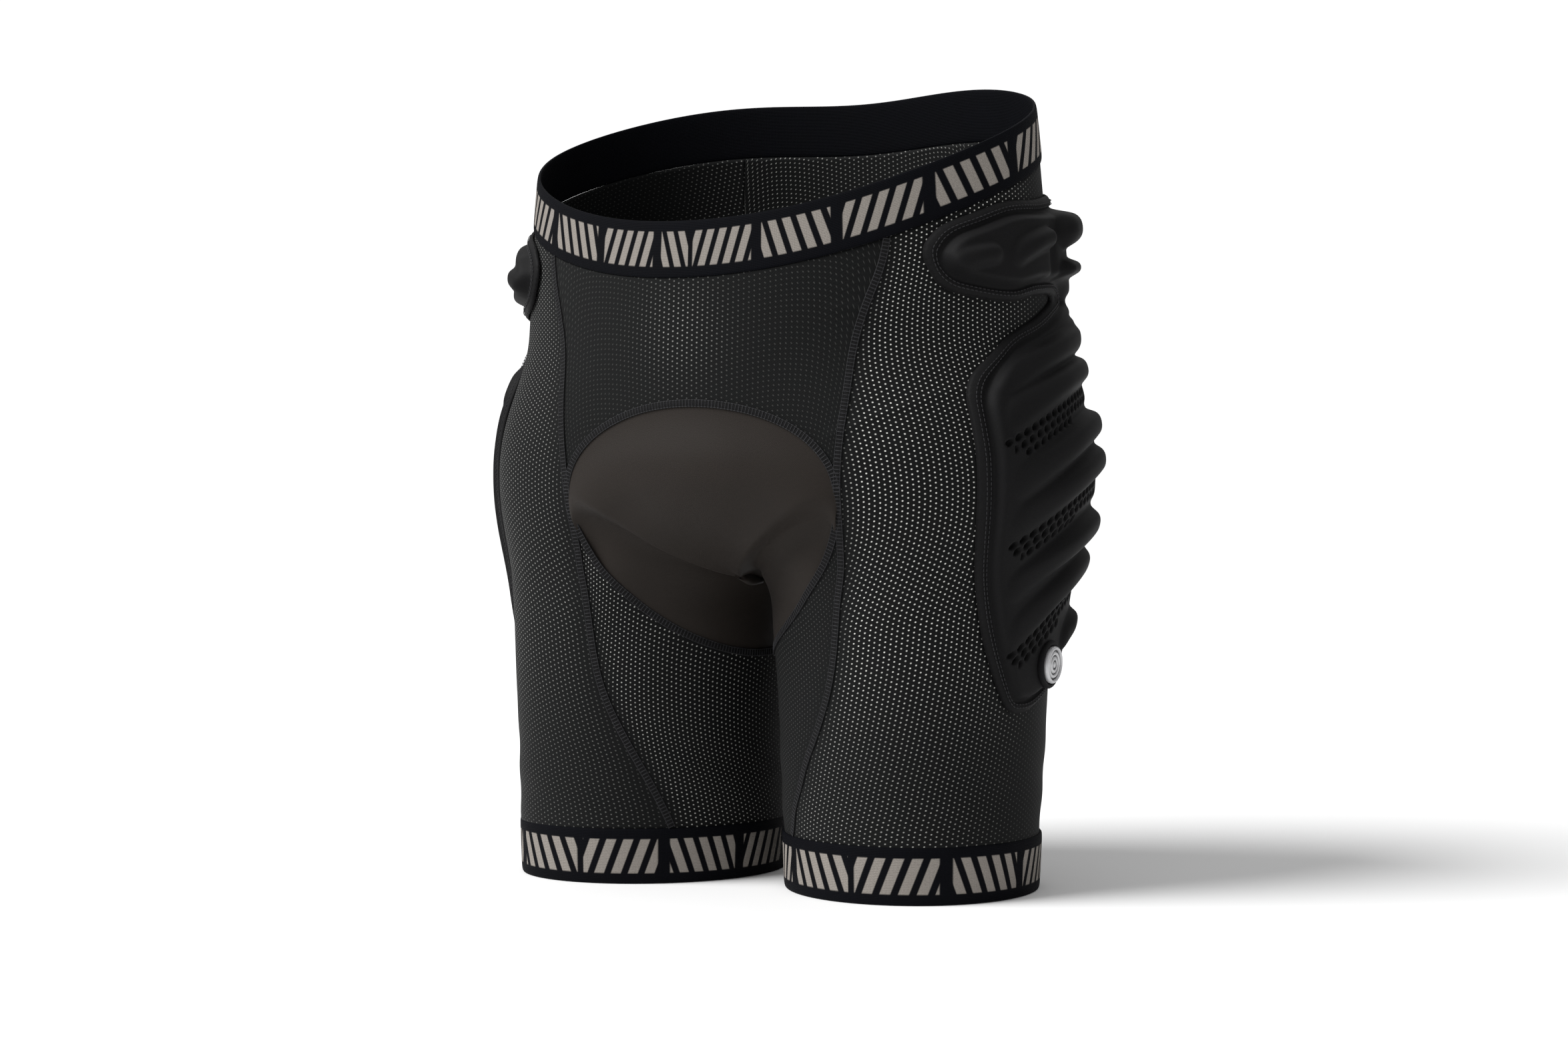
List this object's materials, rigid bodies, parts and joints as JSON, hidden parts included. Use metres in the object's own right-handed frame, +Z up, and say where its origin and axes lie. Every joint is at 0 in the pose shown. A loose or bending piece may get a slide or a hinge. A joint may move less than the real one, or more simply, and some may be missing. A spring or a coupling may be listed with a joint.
{
  "type": "padded impact shorts",
  "caption": "Close-fitting thigh-length padded shorts with elastic waist and hems, a stretch crotch insert and ribbed foam pads over the hips and outer thighs.",
  "frame": {"origin": "under the middle of the bounding box, at the height of the two leg hems", "axes": "+Z up towards the waist, -Y the way the wearer faces, +X to the wearer's left"},
  "size_m": [0.4043, 0.2524, 0.4894],
  "materials": {
    "mesh_fabric": "matt black perforated stretch knit",
    "elastic": "woven dark navy elastic with a taupe pattern",
    "insert_fabric": "smooth grey-brown stretch fabric, slight sheen",
    "pad_foam": "moulded black foam with a matt fabric face",
    "pad_lining": "brushed dark lining",
    "badge": "glossy silver-white"
  },
  "bodies": {
    "root": {"waistband": "elastic", "front_panel": "mesh_fabric", "seat_panel": "mesh_fabric", "crotch_insert": "insert_fabric", "seat_pad": "pad_lining", "tailbone_pad": "pad_foam", "cuff_left": "elastic", "side_panel_left": "mesh_fabric", "inner_leg_left": "mesh_fabric", "side_pad_left": "pad_foam", "thigh_rib_1_left": "pad_foam", "thigh_rib_2_left": "pad_foam", "thigh_rib_3_left": "pad_foam", "thigh_rib_4_left": "pad_foam", "thigh_rib_5_left": "pad_foam", "thigh_rib_6_left": "pad_foam", "thigh_rib_7_left": "pad_foam", "hip_bar_front_left": "pad_foam", "hip_bar_middle_left": "pad_foam", "hip_knob_upper_left": "pad_foam", "hip_knob_lower_left": "pad_foam", "badge_surround_left": "pad_foam", "badge_left": "badge", "cuff_right": "elastic", "side_panel_right": "mesh_fabric", "inner_leg_right": "mesh_fabric", "side_pad_right": "pad_foam", "thigh_rib_1_right": "pad_foam", "thigh_rib_2_right": "pad_foam", "thigh_rib_3_right": "pad_foam", "thigh_rib_4_right": "pad_foam", "thigh_rib_5_right": "pad_foam", "thigh_rib_6_right": "pad_foam", "thigh_rib_7_right": "pad_foam", "hip_bar_front_right": "pad_foam", "hip_bar_middle_right": "pad_foam", "hip_knob_upper_right": "pad_foam", "hip_knob_lower_right": "pad_foam", "badge_surround_right": "pad_foam", "badge_right": "badge"}
  },
  "joints": []
}
